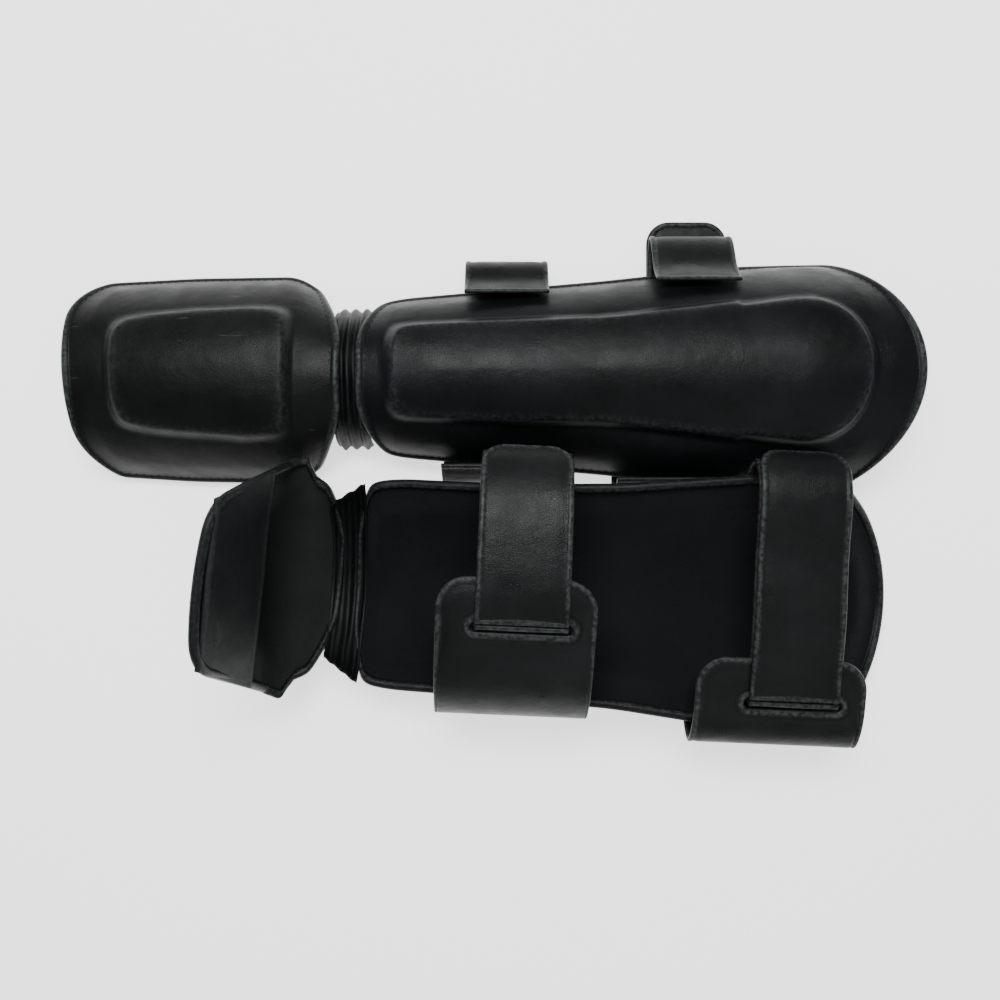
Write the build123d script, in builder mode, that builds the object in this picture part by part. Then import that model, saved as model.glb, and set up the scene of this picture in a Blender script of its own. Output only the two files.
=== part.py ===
"""A left and a right padded shin and instep guard, in leather, lying side by side.

The left guard lies face up on its closed straps. The right guard lies face down on its raised
panels, with its straps arched over the leg space and its foot flap folded up.

Millimetres, +Z up. +X runs from the foot flaps to the knee ends, and +Y from the right guard to
the left one. The origin is at the middle of the pair, on the surface that they lie on.

Each guard is drawn in its own frame, with its ankle fold at x = 0, and then moved into place.
"""

from build123d import *
import math
import os

os.makedirs("parts", exist_ok=True)

# Places of the two ankle folds, and how far each pad is turned about +Z
LEFT_ANKLE = (-80.0, 58.6)
RIGHT_ANKLE = (-84.0, -63.8)
RIGHT_SHIN_YAW = -2.5
RIGHT_FOOT_YAW = -6.5

# The pads
SHIN_LENGTH = 322.0
KNEE_LENGTH = 72.0
KNEE_HALF_WIDTH = 80.0
FOOT_LENGTH = 160.0
HALF_FOLD = 6.0
NOTCH_ANGLE = 25.0
NOTCH_DEPTH = 50.0
RIM = 5.0
GAP = 0.2
PAD_MARGIN = 0.3

# Depths of the layers below the outer surface. The raised panels stand above it.
COVER = (0.0, 1.5)
SHIN_FOAM = (1.7, 10.7)
SHIN_LINING = (10.9, 12.4)
FOOT_FOAM = (1.7, 8.7)
FOOT_LINING = (8.9, 10.2)
RAISED = (-6.8, -0.4)
FOLD = (3.0, 6.0)
FOLD_INSET = 5.0

# The raised panels, in plan
PANEL_START = 14.0
PANEL_KNEE_MARGIN = 28.0
PANEL_HALF_WIDTH = 52.0
FOOT_PANEL_START = 24.0
FOOT_PANEL_MARGIN = 25.0
FOOT_PANEL_CORNER = 18.0

# The straps and their tabs
STRAP_WIDTH = 50.0
STRAP_THICKNESS = 2.2
TAB_THICKNESS = 2.6
LAYER_STEP = 2.8
STRIP_THICKNESS = 1.2
STRIP_OFFSET = 0.9
STRIP_WIDTH = 42.0
SLOT_WIDTH = 53.0
SLOT_GAP = 5.0
TAIL_GAP = 0.4
TAIL_CORNER = 14.0
TAB_CORNER = 12.0
CUT_REACH = 9.0
SAMPLES = 28
ROOT_GAP = 1.6
STRAP_ROOT = 24.0
TAB_ROOT = 17.0
BIG = 500.0

# Seen from the toes, its x up and its y across
FRONT = Plane(origin=(0, 0, 0), x_dir=(0, 0, 1), z_dir=(1, 0, 0))


class Section:
    """A cross-section of a curved pad: an arc of half width w that rises by r to its edges.

    The plane's origin is at the crest of the outer surface, its x runs across the pad and its y
    points into the hollow. panel is half the width of the raised panel, along the arc.
    """

    def __init__(self, plane, w, r, panel):
        self.plane = plane
        self.radius = (w * w + r * r) / (2 * r)
        self.edge_angle = math.degrees(math.asin(w / self.radius))
        self.panel_angle = math.degrees(panel / self.radius)

    def point(self, depth, angle):
        reach = self.radius - depth
        turn = math.radians(angle)
        return (reach * math.sin(turn), self.radius - reach * math.cos(turn))

    def rim_angle(self, rim):
        return self.edge_angle - math.degrees(rim / self.radius)


def lying_plane(x, crest, up):
    """The plane of a cross-section at x, for a crest that points up (1) or down (-1)."""
    return Plane(origin=(x, 0, crest), x_dir=(0, 1, 0), z_dir=(-up, 0, 0))


def tilted_plane(x, z, tilt):
    """The plane of a cross-section of a face-down pad that is bent up by tilt degrees."""
    turn = math.radians(tilt)
    return Plane(origin=(x, 0, z), x_dir=(0, 1, 0), z_dir=(math.cos(turn), 0, -math.sin(turn)))


def band_profile(section, depths, half):
    """The cross-section of a slab between two depths, out to half degrees each side."""
    low, high = depths
    outer = [section.point(low, a) for a in (-half, 0, half)]
    inner = [section.point(high, a) for a in (half, 0, -half)]
    with BuildSketch(section.plane) as profile:
        with BuildLine():
            ThreePointArc(*outer)
            Line(outer[-1], inner[0])
            ThreePointArc(*inner)
            Line(inner[-1], outer[0])
        make_face()
    return profile.sketch


def pad_layer(sections, depths, half_angle, outlines):
    """A curved slab, kept only within each (plane, outline) seen square to its plane."""
    profiles = [band_profile(section, depths, half_angle(section)) for section in sections]
    with BuildPart() as layer:
        loft(profiles, ruled=True)
        for plane, outline in outlines:
            with BuildSketch(plane):
                add(outline)
            extrude(amount=BIG, both=True, mode=Mode.INTERSECT)
    return layer.part


def notch_outline(side, axis_z, up, inset):
    """Side view of a pad on one side (1 shin, -1 foot) of the ankle, with room for the fold."""
    start = HALF_FOLD + inset
    back = start + NOTCH_DEPTH * math.tan(math.radians(NOTCH_ANGLE))
    with BuildSketch() as outline:
        with BuildLine():
            Polyline(
                (side * start, axis_z + up * BIG),
                (side * start, axis_z),
                (side * back, axis_z - up * NOTCH_DEPTH),
                (side * back, axis_z - up * BIG),
                (side * BIG, axis_z - up * BIG),
                (side * BIG, axis_z + up * BIG),
                close=True,
            )
        make_face()
    return outline.sketch


def knee_outline(start, length, half_width):
    """Plan outline with a straight start and an elliptical knee end."""
    centre = HALF_FOLD + SHIN_LENGTH - KNEE_LENGTH
    with BuildSketch() as outline:
        with Locations((centre, 0)):
            Ellipse(length, half_width)
        with Locations(((start + centre) / 2, 0)):
            Rectangle(centre - start, 2 * BIG)
    return outline.sketch


def tapered_outline(foot, tip, half_base, shoulder, half_tip, slant, corner):
    """An outline along +x or -x that tapers from its shoulder to a slanted, rounded tip."""
    with BuildSketch() as outline:
        with BuildLine():
            Polyline(
                (foot, -half_base),
                (shoulder, -half_base),
                (tip - slant, -half_tip),
                (tip + slant, half_tip),
                (shoulder, half_base),
                (foot, half_base),
                close=True,
            )
        make_face()
        ends = outline.vertices().filter_by(lambda v: abs(v.X - tip) < abs(slant) + 0.1)
        fillet(ends, corner)
    return outline.sketch


def save(part, name, place):
    """Move a finished piece to its place and write its STEP."""
    piece = place * part
    piece.label = name
    export_step(piece, f"parts/{name}.step")
    print(name, round(piece.volume / 1000, 2), "cm3")


def build_pad(prefix, sections, layers, outlines, panel_outlines, place):
    """Write the cover, foam, lining, edge binding and raised panel of one pad."""
    inner_outlines = outlines(RIM + GAP)
    for layer, depths in layers.items():
        part = pad_layer(sections, depths, lambda s: s.rim_angle(RIM + GAP), inner_outlines)
        save(part, f"{prefix}_{layer}", place)
    deepest = max(depths[1] for depths in layers.values()) + PAD_MARGIN
    whole = pad_layer(sections, (0, deepest), lambda s: s.edge_angle, outlines(0))
    core_depths = (-PAD_MARGIN, deepest + PAD_MARGIN)
    core = pad_layer(sections, core_depths, lambda s: s.rim_angle(RIM), outlines(RIM))
    with BuildPart() as binding:
        add(whole)
        add(core, mode=Mode.SUBTRACT)
    save(binding.part, f"{prefix}_binding", place)
    raised = pad_layer(sections, RAISED, lambda s: s.panel_angle, panel_outlines)
    save(raised, f"{prefix}_raised_panel", place)


# ---------------------------------------------------------------- straps


class StrapPlan:
    """Where a strap crosses its pad, and what lies where along its loop.

    slot_in is how far the slot is past the tab's root, and the tab goes on past the slot for
    tab_reach. tab_shift moves the tab along X, off the middle of the strap.
    """

    def __init__(self, x, slot_in, tab_reach, tail_length, tab_shift, tab_width):
        self.x = x
        self.slot_in = slot_in
        self.tab_reach = tab_reach
        self.tail_length = tail_length
        self.tab_shift = tab_shift
        self.tab_width = tab_width


def wall_point(section, crest, up, side, angle, off):
    """A point of the outer wall of a lying shin pad, off millimetres outside it, as (y, z)."""
    reach = section.radius + off
    turn = math.radians(angle)
    centre = crest - up * section.radius
    return (side * reach * math.sin(turn), centre + up * reach * math.cos(turn))


def beside(curve, distance, off):
    """The point at a distance along a loop, off millimetres to the left of it, as (y, z)."""
    point = curve.position_at(distance, position_mode=PositionMode.LENGTH)
    along = curve.tangent_at(distance, position_mode=PositionMode.LENGTH)
    return (point.X - off * along.Y, point.Y + off * along.X)


def strip_face(curve, start, end, off, thickness):
    """A strip that follows a loop from start to end, as a sketch."""
    steps = [start + (end - start) * i / (SAMPLES - 1) for i in range(SAMPLES)]
    near = [beside(curve, s, off - thickness / 2) for s in steps]
    far = [beside(curve, s, off + thickness / 2) for s in reversed(steps)]
    with BuildSketch() as strip:
        with BuildLine():
            Spline(*near)
            Line(near[-1], far[0])
            Spline(*far)
            Line(far[-1], near[0])
        make_face()
    return strip.sketch


def turn_face(curve, distance, inward):
    """The half ring where the strap turns back round the edge of the slot."""
    centre = beside(curve, distance, 0)
    along = curve.tangent_at(distance, position_mode=PositionMode.LENGTH)

    def at(reach, angle):
        turn = math.radians(angle)
        across = inward * reach * math.cos(turn)
        back = -reach * math.sin(turn)
        x = centre[0] - across * along.Y + back * along.X
        y = centre[1] + across * along.X + back * along.Y
        return (x, y)

    low = LAYER_STEP - STRAP_THICKNESS / 2
    high = LAYER_STEP + STRAP_THICKNESS / 2
    with BuildSketch() as ring:
        with BuildLine():
            ThreePointArc(at(high, 0), at(high, 90), at(high, 180))
            Line(at(high, 180), at(low, 180))
            ThreePointArc(at(low, 180), at(low, 90), at(low, 0))
            Line(at(low, 0), at(high, 0))
        make_face()
    return ring.sketch


def corner_cut(width, corner):
    """What is cut from a strip's end to round its corners, with the end at y = 0."""
    with BuildSketch() as cut:
        Rectangle(width + corner, 2 * corner)
        with Locations((0, -2 * corner)):
            RectangleRounded(width, 4 * corner, corner - 0.01, mode=Mode.SUBTRACT)
    return cut.sketch


def end_plane(curve, distance, off, x):
    """A plane on a loop at a distance along it, its x along X and its y along the loop."""
    along = curve.tangent_at(distance, position_mode=PositionMode.LENGTH)
    origin = (x, *beside(curve, distance, off))
    return Plane(origin=origin, x_dir=(1, 0, 0), z_dir=(0, -along.Y, along.X))


def build_strap(prefix, plan, loop, inward, slot, tail_path, strips_end, place):
    """Write a strap, its tail, its hook and loop strips, and its slotted tab.

    loop is the middle line of the tab and of the space between the strap's two layers, from the
    tab's sewn end to the strap's sewn end, as points (y, z). inward is 1 where the leg space is
    to the left of the loop, and -1 where it is to the right. slot is the distance of the slot
    along the loop. The tail follows the loop to the first value of tail_path, then the points in
    the second.
    """
    curve = Spline(*loop)
    total = curve.length
    x = plan.x
    tab_end = slot + plan.tab_reach
    start = x - STRAP_WIDTH / 2
    strap_off = inward * LAYER_STEP

    with BuildPart() as strap:
        with BuildSketch(Plane.YZ.offset(start)):
            add(strip_face(curve, slot, total, strap_off, STRAP_THICKNESS))
            add(turn_face(curve, slot, inward))
        extrude(amount=STRAP_WIDTH)
    save(strap.part, f"{prefix}_strap", place)

    follow_end, beyond = tail_path
    tail_curve, tail_off, tail_start = curve, -strap_off, slot + TAIL_GAP
    if beyond:
        steps = [tail_start + (follow_end - tail_start) * i / 8 for i in range(9)]
        followed = [beside(curve, s, tail_off) for s in steps]
        tail_curve, tail_off, tail_start = Spline(*followed, *beyond), 0, 0
    tail_end = tail_start + plan.tail_length
    tip = end_plane(tail_curve, tail_end, tail_off, x)
    with BuildPart() as strap_tail:
        with BuildSketch(Plane.YZ.offset(start)):
            add(strip_face(tail_curve, tail_start, tail_end, tail_off, STRAP_THICKNESS))
        extrude(amount=STRAP_WIDTH)
        with BuildSketch(tip):
            add(corner_cut(STRAP_WIDTH, TAIL_CORNER))
        extrude(amount=CUT_REACH, both=True, mode=Mode.SUBTRACT)
    save(strap_tail.part, f"{prefix}_strap_tail", place)

    patch_start = tab_end + TAB_CORNER / 2
    strips = {"loop_strip": STRIP_OFFSET, "hook_strip": -STRIP_OFFSET}
    for strip, off in strips.items():
        with BuildPart() as patch:
            with BuildSketch(Plane.YZ.offset(x - STRIP_WIDTH / 2)):
                add(strip_face(curve, patch_start, strips_end, inward * off, STRIP_THICKNESS))
            extrude(amount=STRIP_WIDTH)
        save(patch.part, f"{prefix}_{strip}", place)

    tab_x = x + plan.tab_shift
    free = end_plane(curve, tab_end, 0, tab_x)
    mouth = end_plane(curve, slot - SLOT_GAP / 2 + TAIL_GAP, 0, x)
    with BuildPart() as slot_tab:
        with BuildSketch(Plane.YZ.offset(tab_x - plan.tab_width / 2)):
            add(strip_face(curve, 0, tab_end, 0, TAB_THICKNESS))
        extrude(amount=plan.tab_width)
        with BuildSketch(free):
            add(corner_cut(plan.tab_width, TAB_CORNER))
        extrude(amount=CUT_REACH, both=True, mode=Mode.SUBTRACT)
        with BuildSketch(mouth):
            Rectangle(SLOT_WIDTH, SLOT_GAP)
        extrude(amount=2 * TAB_THICKNESS, both=True, mode=Mode.SUBTRACT)
    save(slot_tab.part, f"{prefix}_slot_tab", place)

    outer_face = -inward * (LAYER_STEP + STRAP_THICKNESS / 2)
    hinge = place * Location((x, *beside(curve, slot + TAIL_GAP, outer_face)))
    print(prefix, "tail hinge", [round(v, 2) for v in hinge.position], "loop", round(total, 1))


# ---------------------------------------------------------------- left guard, face up

LEFT_AXIS_Z = 44.0
LEFT_STRAP_LEVEL = 4.3

left_shin_place = Location((*LEFT_ANKLE, 0))
left_shin = [
    Section(lying_plane(6, 49, 1), 45, 38, 31),
    Section(lying_plane(30, 51, 1), 49.5, 38, 31),
    Section(lying_plane(150, 57, 1), 60, 43, 35),
    Section(lying_plane(232, 60, 1), 69, 46.5, 45),
    Section(lying_plane(262, 62.4, 1), 72, 60, 49),
    Section(lying_plane(328, 62.4, 1), 73, 60, 45),
]
shin_layers = {"cover": COVER, "foam": SHIN_FOAM, "lining": SHIN_LINING}
foot_layers = {"cover": COVER, "foam": FOOT_FOAM, "lining": FOOT_LINING}


def shin_outlines(axis_z, up):
    def outlines(inset):
        plan = knee_outline(HALF_FOLD + inset, KNEE_LENGTH - inset, KNEE_HALF_WIDTH - inset)
        return [(Plane.XY, plan), (Plane.XZ, notch_outline(1, axis_z, up, inset))]

    return outlines


shin_panel = knee_outline(
    HALF_FOLD + PANEL_START, KNEE_LENGTH - PANEL_KNEE_MARGIN, PANEL_HALF_WIDTH
)
build_pad(
    "left_shin", left_shin, shin_layers, shin_outlines(LEFT_AXIS_Z, 1),
    [(Plane.XY, shin_panel)], left_shin_place,
)

left_foot = [
    Section(lying_plane(-6, 49, 1), 45, 39, 40),
    Section(lying_plane(-36, 49.9, 1), 65, 46, 43),
    Section(lying_plane(-100, 48.7, 1), 64, 45, 44),
    Section(lying_plane(-170, 45, 1), 60, 41, 42),
]


def left_foot_outlines(inset):
    tip = -HALF_FOLD - FOOT_LENGTH + inset
    plan = tapered_outline(0, tip, 80, -60, 60 - inset, -3.5, 27 - inset / 2)
    return [(Plane.XY, plan), (Plane.XZ, notch_outline(-1, LEFT_AXIS_Z, 1, inset))]


left_foot_tip = -HALF_FOLD - FOOT_LENGTH + FOOT_PANEL_MARGIN
left_foot_panel = tapered_outline(
    -FOOT_PANEL_START, left_foot_tip, 60, -50, 40, -3.5, FOOT_PANEL_CORNER
)
build_pad(
    "left_foot", left_foot, foot_layers, left_foot_outlines,
    [(Plane.XY, left_foot_panel)], left_shin_place,
)


def fold_angle(section):
    return section.rim_angle(RIM + FOLD_INSET)


left_fold = [
    Section(lying_plane(-HALF_FOLD + 2 * PAD_MARGIN, 49, 1), 45, 38, 31),
    Section(lying_plane(HALF_FOLD - PAD_MARGIN, 49, 1), 45, 38, 31),
]
save(pad_layer(left_fold, FOLD, fold_angle, []), "left_ankle_fold", left_shin_place)

# The sole band joins the side edges of the foot flap under the toe half
with BuildPart() as left_band:
    with Locations((-118, 0, 1.2)):
        Box(46, 90, 1.8)
save(left_band.part, "left_sole_band", left_shin_place)


def flat_loop(section, crest, bulge):
    """The squashed loop of a strap under a face-up pad, from the tab's root to the strap's."""
    half = section.radius * math.sin(math.radians(section.edge_angle))
    tab_off = TAB_THICKNESS / 2 + ROOT_GAP
    strap_off = LAYER_STEP + STRAP_THICKNESS / 2 + ROOT_GAP
    level = LEFT_STRAP_LEVEL
    return [
        wall_point(section, crest, 1, -1, section.edge_angle - TAB_ROOT, tab_off),
        wall_point(section, crest, 1, -1, section.edge_angle - TAB_ROOT / 2, tab_off),
        (-half - tab_off - 0.6, 12),
        (-half + 3, level + 0.6),
        (-half + 16, level),
        (-half / 3, level),
        (half / 3, level),
        (half - 8, level),
        (half + bulge * 0.55, level + 1.5),
        (half + bulge, 13),
        (half + bulge * 0.6, 23),
        wall_point(section, crest, 1, 1, section.edge_angle - STRAP_ROOT / 2, strap_off),
        wall_point(section, crest, 1, 1, section.edge_angle - STRAP_ROOT, strap_off),
    ]


def build_left_strap(name, plan, crest, w, r, bulge):
    """A strap under the face-up pad, whose cross-section there has this crest, w and r."""
    section = Section(lying_plane(0, crest, 1), w, r, 0)
    half = section.radius * math.sin(math.radians(section.edge_angle))
    slot = section.radius * math.radians(TAB_ROOT) + plan.slot_in + 6
    flat_end = slot + 2 * half - plan.slot_in - 10
    beyond = [(half + 10, 1.6), (half + 30, 2.2), (half + 60, 4)]
    build_strap(
        name, plan, flat_loop(section, crest, bulge), 1, slot, (flat_end, beyond),
        flat_end - 4, left_shin_place,
    )


left_lower = StrapPlan(
    x=92.0, slot_in=33, tab_reach=23, tail_length=94, tab_shift=0, tab_width=78
)
left_upper = StrapPlan(
    x=204.0, slot_in=26, tab_reach=17, tail_length=148, tab_shift=-8, tab_width=78
)
build_left_strap("left_lower", left_lower, crest=56.4, w=59, r=42.6, bulge=14)
build_left_strap("left_upper", left_upper, crest=60.6, w=70.4, r=47, bulge=18)

# ---------------------------------------------------------------- right guard, face down

RIGHT_CREST = 6.9
RIGHT_AXIS_Z = 12.0

right_shin_place = Location((*RIGHT_ANKLE, 0), (0, 0, RIGHT_SHIN_YAW))
right_foot_place = Location((*RIGHT_ANKLE, 0), (0, 0, RIGHT_FOOT_YAW))
right_shin = [
    Section(lying_plane(6, RIGHT_CREST, -1), 60, 25, 31),
    Section(lying_plane(30, RIGHT_CREST, -1), 63.5, 27, 31),
    Section(lying_plane(100, RIGHT_CREST, -1), 63, 41, 34),
    Section(lying_plane(160, RIGHT_CREST, -1), 66, 42, 36),
    Section(lying_plane(240, RIGHT_CREST, -1), 75, 43, 45),
    Section(lying_plane(328, RIGHT_CREST, -1), 76, 43, 40),
]
build_pad(
    "right_shin", right_shin, shin_layers, shin_outlines(RIGHT_AXIS_Z, -1),
    [(Plane.XY, shin_panel)], right_shin_place,
)

# The foot flap runs flat, turns up round a bend, and stands nearly upright to its toe edge
BEND_START = -22.0
BEND_RADIUS = 40.0
TOE_HEIGHT = 128.0
MID_BEND = BEND_RADIUS * math.sin(math.radians(45))
BEND_Z = RIGHT_CREST + BEND_RADIUS
right_foot = [
    Section(lying_plane(-6, RIGHT_CREST, -1), 52, 26, 36),
    Section(lying_plane(BEND_START, RIGHT_CREST, -1), 62, 29, 42),
    Section(tilted_plane(BEND_START - MID_BEND, BEND_Z - MID_BEND, 45), 73, 31, 43),
    Section(tilted_plane(BEND_START - BEND_RADIUS, BEND_Z, 90), 69, 25, 43),
    Section(tilted_plane(BEND_START - BEND_RADIUS + 1, 90, 91), 55, 12, 42),
    Section(tilted_plane(BEND_START - BEND_RADIUS + 2, 132, 92), 43, 2.5, 40),
]


def right_foot_outlines(inset):
    tip = TOE_HEIGHT - inset
    front = tapered_outline(-60, tip, 94, 60, 43 - inset, 1.5, 15 - inset / 2)
    return [(FRONT, front), (Plane.XZ, notch_outline(-1, RIGHT_AXIS_Z, -1, inset))]


right_panel_front = tapered_outline(-60, TOE_HEIGHT - FOOT_PANEL_MARGIN, 80, 50, 38, 1.5, 15)
right_panel_side = notch_outline(-1, RIGHT_AXIS_Z, -1, FOOT_PANEL_START - HALF_FOLD)
build_pad(
    "right_foot", right_foot, foot_layers, right_foot_outlines,
    [(FRONT, right_panel_front), (Plane.XZ, right_panel_side)], right_foot_place,
)

right_fold = [
    Section(lying_plane(-HALF_FOLD + 5 * PAD_MARGIN, RIGHT_CREST, -1), 54, 23, 31),
    Section(lying_plane(HALF_FOLD - PAD_MARGIN, RIGHT_CREST, -1), 56, 24, 31),
]
save(pad_layer(right_fold, FOLD, fold_angle, []), "right_ankle_fold", right_shin_place)

# The sole band stands across the toe half of the flap, from side edge to side edge
with BuildPart() as right_band:
    with BuildSketch(Plane.XZ):
        with BuildLine():
            Polyline((-36.8, 70), (-35.0, 70), (-42.2, 112), (-44.0, 112), close=True)
        make_face()
    extrude(amount=48, both=True)
    right_band_front = tapered_outline(-60, TOE_HEIGHT, 78, 38, 36, 0, 5)
    with BuildSketch(FRONT):
        add(right_band_front)
    extrude(amount=BIG, both=True, mode=Mode.INTERSECT)
save(right_band.part, "right_sole_band", right_foot_place)


def arched_loop(section, rises, bulge, clear):
    """The arched loop of a strap over a face-down pad, from the tab's root to the strap's.

    rises are the heights above the pad's edges on the tab's side, over the slot, at the crown,
    where the strap starts down, and at its farthest reach. clear is the gap off the pad's wall.
    """
    half = section.radius * math.sin(math.radians(section.edge_angle))
    edge = RIGHT_CREST + section.radius * (1 - math.cos(math.radians(section.edge_angle)))
    tab_off = TAB_THICKNESS / 2 + clear
    strap_off = LAYER_STEP + STRAP_THICKNESS / 2 + clear
    tab_rise, slot_rise, crown, fall, lean = rises
    return [
        wall_point(section, RIGHT_CREST, -1, -1, section.edge_angle - STRAP_ROOT, tab_off),
        wall_point(section, RIGHT_CREST, -1, -1, section.edge_angle - STRAP_ROOT / 2, tab_off),
        (-half - tab_off - 0.5, edge + 1),
        (-half + 6, edge + tab_rise),
        (-half + 34, edge + slot_rise),
        (-half * 0.1, edge + crown),
        (half * 0.45, edge + crown),
        (half + bulge * 0.1, edge + fall),
        (half + bulge, edge + lean),
        (half + bulge * 0.35, edge - 6),
        wall_point(section, RIGHT_CREST, -1, 1, section.edge_angle - STRAP_ROOT / 2, strap_off),
        wall_point(section, RIGHT_CREST, -1, 1, section.edge_angle - STRAP_ROOT, strap_off),
    ]


def build_right_strap(name, plan, w, r, rises, bulge, clear):
    """A strap over the face-down pad, whose cross-section there has this w and r."""
    section = Section(lying_plane(0, RIGHT_CREST, -1), w, r, 0)
    slot = section.radius * math.radians(STRAP_ROOT) + plan.slot_in
    build_strap(
        name, plan, arched_loop(section, rises, bulge, clear), -1, slot, (None, []),
        slot + plan.tail_length - 8, right_shin_place,
    )


right_lower = StrapPlan(
    x=104.0, slot_in=78, tab_reach=25, tail_length=100, tab_shift=-3, tab_width=86
)
right_upper = StrapPlan(
    x=257.0, slot_in=36, tab_reach=24, tail_length=142, tab_shift=-7, tab_width=95
)
build_right_strap(
    "right_lower", right_lower, w=64.6, r=41.6, rises=(20, 36, 44, 34, 16), bulge=17, clear=2.4
)
build_right_strap(
    "right_upper", right_upper, w=76, r=43, rises=(10, 16, 20, 17, 10), bulge=7, clear=1.3
)
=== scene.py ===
"""Looks of a left and a right padded leather shin and instep guard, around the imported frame.

Shapes are worked out in millimetres in each guard's own frame, with its ankle fold at x = 0, as
the CAD does, and become metres in the row frame when a mesh is made.
"""

import math

import bmesh
import bpy
import numpy as np
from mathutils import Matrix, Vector, noise


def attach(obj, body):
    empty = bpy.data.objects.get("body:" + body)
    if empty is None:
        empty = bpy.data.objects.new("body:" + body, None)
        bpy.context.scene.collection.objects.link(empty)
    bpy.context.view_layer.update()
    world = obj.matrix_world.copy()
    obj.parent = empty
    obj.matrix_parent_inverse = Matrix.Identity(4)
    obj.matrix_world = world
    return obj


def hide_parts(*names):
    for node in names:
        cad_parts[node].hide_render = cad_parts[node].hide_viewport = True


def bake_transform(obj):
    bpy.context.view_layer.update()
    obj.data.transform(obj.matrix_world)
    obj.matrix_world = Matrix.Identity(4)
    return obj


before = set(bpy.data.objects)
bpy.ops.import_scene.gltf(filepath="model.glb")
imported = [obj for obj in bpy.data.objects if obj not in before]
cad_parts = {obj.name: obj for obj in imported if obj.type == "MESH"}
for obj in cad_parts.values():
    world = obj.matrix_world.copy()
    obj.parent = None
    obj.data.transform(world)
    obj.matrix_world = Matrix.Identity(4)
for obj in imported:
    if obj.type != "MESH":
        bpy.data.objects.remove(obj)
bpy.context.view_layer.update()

# ---------------------------------------------------------------- driving sizes, millimetres

PLACES = {
    "left_shin": ((-80.0, 58.6), 0.0),
    "left_foot": ((-80.0, 58.6), 0.0),
    "right_shin": ((-84.0, -63.8), -2.5),
    "right_foot": ((-84.0, -63.8), -6.5),
}
STARTS = {"left": 4.2, "right": 3.4}
SHIN_END = 328.0
KNEE_CENTRE = 256.0
KNEE_LENGTH = 72.0
KNEE_HALF_WIDTH = 80.0
NOTCH_SLOPE = 1 / math.tan(math.radians(25))
NOTCH_START = 5.0
RIGHT_CREST = 6.9
BEND_START = 22.0
BEND_RADIUS = 40.0
RAISE = 6.6
SHIN_THICKNESS = 12.4
FOOT_THICKNESS = 10.2

STRAP_HALF = 25.0
STRAP_THICKNESS = 2.2
TAB_THICKNESS = 2.6
LAYER_STEP = 2.8
STRIP_OFFSET = 0.9
SLOT_HALF = 26.5
TAIL_GAP = 0.4


# ---------------------------------------------------------------- numbers


def smooth(value):
    """0 below 0, 1 above 1, and a smooth rise between."""
    t = np.clip(value, 0.0, 1.0)
    return t * t * (3 - 2 * t)


def soft_min(values, reach):
    """The lowest of several distances, rounded where two of them are near each other."""
    stack = np.stack([np.asarray(v, float) for v in values])
    return -reach * np.log(np.exp(-stack / reach).sum(axis=0))


def table(rows, at, blur=7.0):
    """Values read from rows (position, value, ...) at the positions given, with soft corners."""
    rows = np.array(rows, float)
    offsets = np.linspace(-blur, blur, 7)
    out = []
    for column in range(1, rows.shape[1]):
        reads = [np.interp(at + o, rows[:, 0], rows[:, column]) for o in offsets]
        out.append(np.mean(reads, axis=0))
    return out


def row_frame(points, place):
    """Points of one guard's own frame, in millimetres, as row-frame metres."""
    (ax, ay), yaw = place
    c, s = math.cos(math.radians(yaw)), math.sin(math.radians(yaw))
    x, y, z = points[:, 0], points[:, 1], points[:, 2]
    return np.stack([x * c - y * s + ax, x * s + y * c + ay, z], axis=1) * 0.001


def rough(points, scale, seed):
    """Smooth noise from -1 to 1 at each point; scale is the size of its bumps, in millimetres."""
    shift = Vector((seed * 17.3, seed * 9.1, seed * 4.7))
    return np.array([noise.noise(Vector(p) / scale + shift) for p in points])


# ---------------------------------------------------------------- meshes


def new_object(name, points, faces, materials, face_slots=None, wear_and_highlight=None):
    """A mesh object from points in metres. The last argument is a value from 0 to 1 at each point that
    pales the leather: partly real wear, partly painted highlight.
    """
    mesh = bpy.data.meshes.new(name)
    mesh.from_pydata([tuple(p) for p in points], [], faces)
    for material in materials:
        mesh.materials.append(material)
    if face_slots is not None:
        mesh.polygons.foreach_set("material_index", face_slots)
    if wear_and_highlight is not None:
        attribute = mesh.attributes.new("wear_and_highlight", "FLOAT", "POINT")
        attribute.data.foreach_set("value", np.asarray(wear_and_highlight, np.float32))
    tool = bmesh.new()
    tool.from_mesh(mesh)
    bmesh.ops.remove_doubles(tool, verts=tool.verts, dist=1e-6)
    bmesh.ops.dissolve_degenerate(tool, edges=tool.edges, dist=1e-7)
    bmesh.ops.recalc_face_normals(tool, faces=tool.faces)
    tool.to_mesh(mesh)
    tool.free()
    mesh.polygons.foreach_set("use_smooth", [True] * len(mesh.polygons))
    obj = bpy.data.objects.new(name, mesh)
    bpy.context.collection.objects.link(obj)
    return obj


def ring_faces(ring_count, around):
    """Quads between rings of points, each ring closed on itself."""
    faces = []
    for i in range(ring_count - 1):
        for k in range(around):
            n = (k + 1) % around
            faces.append((i * around + k, (i + 1) * around + k, (i + 1) * around + n, i * around + n))
    return faces


def slab_faces(long, wide):
    """Faces of a closed slab: two layers, each of long rows of wide points, and the rim."""
    faces = []
    for base in (0, wide * long):
        for i in range(long - 1):
            for k in range(wide - 1):
                a = base + i * wide + k
                faces.append((a, a + 1, a + wide + 1, a + wide))
    rim = [(i, 0) for i in range(long)] + [(long - 1, k) for k in range(1, wide)]
    rim += [(i, wide - 1) for i in range(long - 2, -1, -1)]
    rim += [(0, k) for k in range(wide - 2, 0, -1)]
    for (i, k), (m, n) in zip(rim, rim[1:] + rim[:1]):
        a, b = i * wide + k, m * wide + n
        faces.append((a, b, b + wide * long, a + wide * long))
    return faces


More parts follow.
